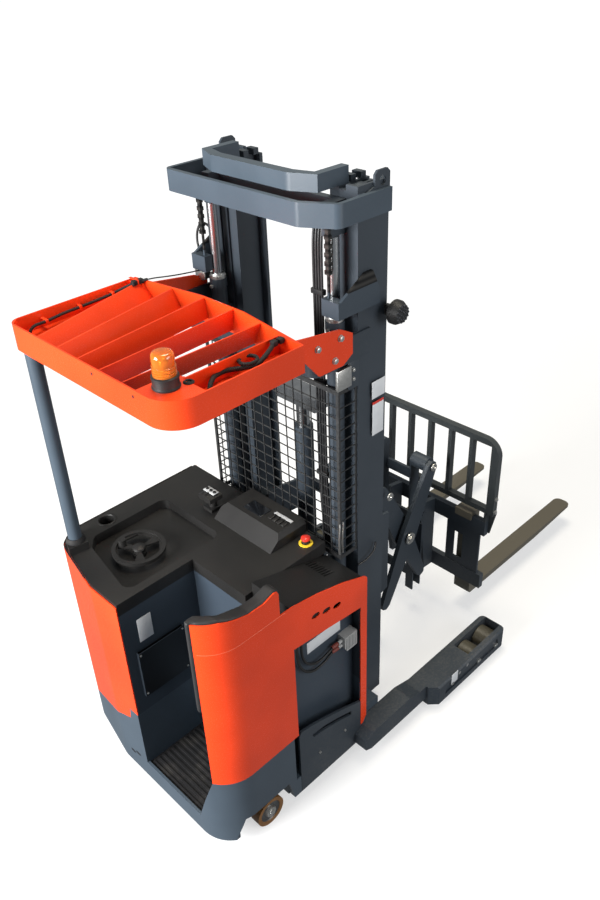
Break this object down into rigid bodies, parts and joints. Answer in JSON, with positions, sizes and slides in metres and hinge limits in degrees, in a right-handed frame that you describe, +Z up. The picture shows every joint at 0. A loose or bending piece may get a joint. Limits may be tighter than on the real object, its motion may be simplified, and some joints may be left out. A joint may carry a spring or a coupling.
{
  "type": "reach truck",
  "caption": "Stand-up electric reach truck with a rear operator well, straddle legs, a telescopic mast, a scissor reach carriage with forks and an overhead guard.",
  "frame": {"origin": "on the floor, under the middle of the truck's length and width", "axes": "+X forward towards the fork tips, +Y to the truck's left, +Z up"},
  "size_m": [3.07, 1.38, 2.687],
  "materials": {
    "orange_paint": "semi-gloss",
    "slate_paint": "semi-gloss",
    "mast_paint": "semi-gloss",
    "dark_steel": "matte",
    "fork_steel": "satin",
    "bright_steel": "brushed",
    "chrome": "polished",
    "cast_dark": "matte",
    "black_plastic": "matte",
    "black_rubber": "matte",
    "amber_tyre": "satin",
    "amber_lens": "gloss"
  },
  "bodies": {
    "chassis": {"hull": "slate_paint", "left_cover": "orange_paint", "column_cover": "orange_paint", "side_panel": "orange_paint", "column_pad": "black_rubber", "inner_panel": "dark_steel", "front_bulkhead": "slate_paint", "battery": "dark_steel", "battery_gate": "slate_paint", "console": "black_plastic", "floor_mat": "black_rubber", "drive_mount": "dark_steel", "battery_connector": "black_plastic", "battery_cable_low": "black_rubber", "battery_cable_high": "black_rubber", "straddle_leg_left": "slate_paint", "straddle_leg_right": "slate_paint", "base_frame": "slate_paint", "outer_rail_left": "mast_paint", "outer_rail_right": "mast_paint", "outer_tie": "slate_paint", "guard_yoke": "dark_steel", "lower_cross": "slate_paint", "lift_barrels": "slate_paint", "lift_chains": "mast_paint", "overhead_guard": "orange_paint", "guard_post": "slate_paint", "beacon": "amber_lens", "control_handle": "black_plastic", "mesh_screen": "dark_steel", "work_lamp": "dark_steel"},
    "drive_yoke": {"drive_unit": "cast_dark"},
    "drive_wheel": {"drive_wheel": "amber_tyre"},
    "caster_swivel": {"caster_fork": "bright_steel"},
    "caster_wheel": {"caster_wheel": "amber_tyre"},
    "load_wheel_left_rear": {"load_wheel_left_rear": "amber_tyre"},
    "load_wheel_left_front": {"load_wheel_left_front": "amber_tyre"},
    "load_wheel_right_rear": {"load_wheel_right_rear": "amber_tyre"},
    "load_wheel_right_front": {"load_wheel_right_front": "amber_tyre"},
    "steering_wheel": {"steering_wheel": "black_plastic"},
    "middle_mast": {"middle_rail_left": "mast_paint", "middle_rail_right": "mast_paint", "middle_head": "mast_paint", "lift_rods": "chrome"},
    "inner_mast": {"inner_rail_left": "mast_paint", "inner_rail_right": "mast_paint", "inner_bow": "slate_paint", "free_lift_barrel": "mast_paint"},
    "free_lift_head": {"free_lift_head": "bright_steel"},
    "lift_carriage": {"mast_carriage": "mast_paint", "reach_rear_frame": "slate_paint"},
    "inner_arms": {"inner_arms": "slate_paint"},
    "outer_arms": {"outer_arms": "slate_paint"},
    "reach_front": {"reach_front_frame": "slate_paint"},
    "fork_carriage": {"fork_carriage": "slate_paint", "load_backrest": "slate_paint"},
    "fork_left": {"fork_left": "fork_steel"},
    "fork_right": {"fork_right": "fork_steel"}
  },
  "joints": [
    {"name": "drive_steer", "type": "hinge", "parent": "chassis", "child": "drive_yoke", "pos_m": [-1.329, 0.255, 0], "axis": [0, 0, 1], "range_deg": [-90, 90]},
    {"name": "drive_spin", "type": "hinge", "parent": "drive_yoke", "child": "drive_wheel", "pos_m": [-1.329, 0.255, 0.152], "axis": [0, 1, 0], "continuous": true},
    {"name": "caster_swivel", "type": "hinge", "parent": "chassis", "child": "caster_swivel", "pos_m": [-1.292, -0.505, 0], "axis": [0, 0, 1], "continuous": true},
    {"name": "caster_spin", "type": "hinge", "parent": "caster_swivel", "child": "caster_wheel", "pos_m": [-1.272, -0.515, 0.075], "axis": [0, 1, 0], "continuous": true},
    {"name": "load_spin_left_rear", "type": "hinge", "parent": "chassis", "child": "load_wheel_left_rear", "pos_m": [0.097, 0.6125, 0.0635], "axis": [0, 1, 0], "continuous": true},
    {"name": "load_spin_left_front", "type": "hinge", "parent": "chassis", "child": "load_wheel_left_front", "pos_m": [0.251, 0.6125, 0.0635], "axis": [0, 1, 0], "continuous": true},
    {"name": "load_spin_right_rear", "type": "hinge", "parent": "chassis", "child": "load_wheel_right_rear", "pos_m": [0.097, -0.6125, 0.0635], "axis": [0, 1, 0], "continuous": true},
    {"name": "load_spin_right_front", "type": "hinge", "parent": "chassis", "child": "load_wheel_right_front", "pos_m": [0.251, -0.6125, 0.0635], "axis": [0, 1, 0], "continuous": true},
    {"name": "steering", "type": "hinge", "parent": "chassis", "child": "steering_wheel", "pos_m": [-1.245, 0.243, 1.13], "axis": [0, 0, 1], "range_deg": [-180, 180]},
    {"name": "mast_lift", "type": "slide", "parent": "chassis", "child": "middle_mast", "axis": [0, 0, 1], "range_m": [0, 1.5]},
    {"name": "inner_lift", "type": "slide", "parent": "middle_mast", "child": "inner_mast", "axis": [0, 0, 1], "range_m": [0, 1.5]},
    {"name": "carriage_lift", "type": "slide", "parent": "inner_mast", "child": "lift_carriage", "axis": [0, 0, 1], "range_m": [-0.1, 1.4]},
    {"name": "free_lift", "type": "slide", "parent": "inner_mast", "child": "free_lift_head", "axis": [0, 0, 1], "range_m": [-0.05, 0.7]},
    {"name": "reach", "type": "hinge", "parent": "lift_carriage", "child": "inner_arms", "pos_m": [-0.11, 0, 1.02], "axis": [0, -1, 0], "range_deg": [-17, 22.5]},
    {"name": "reach_cross", "type": "hinge", "parent": "inner_arms", "child": "outer_arms", "pos_m": [0.0625, 0, 0.66], "axis": [0, -1, 0], "range_deg": [-45, 34]},
    {"name": "reach_head", "type": "hinge", "parent": "outer_arms", "child": "reach_front", "pos_m": [0.235, 0, 1.02], "axis": [0, -1, 0], "range_deg": [-17, 22.5]},
    {"name": "fork_tilt", "type": "hinge", "parent": "reach_front", "child": "fork_carriage", "pos_m": [0.299, 0, 0.638], "axis": [0, -1, 0], "range_deg": [-2, 4]},
    {"name": "fork_left_shift", "type": "slide", "parent": "fork_carriage", "child": "fork_left", "axis": [0, 1, 0], "range_m": [-0.12, 0.07]},
    {"name": "fork_right_shift", "type": "slide", "parent": "fork_carriage", "child": "fork_right", "axis": [0, 1, 0], "range_m": [-0.07, 0.12]}
  ],
  "couplings": [
    {"joint": "inner_lift", "follows": "mast_lift", "ratio": 1},
    {"joint": "free_lift", "follows": "carriage_lift", "ratio": 0.5},
    {"joint": "reach_cross", "follows": "reach", "ratio": -2},
    {"joint": "reach_head", "follows": "reach", "ratio": 1}
  ]
}
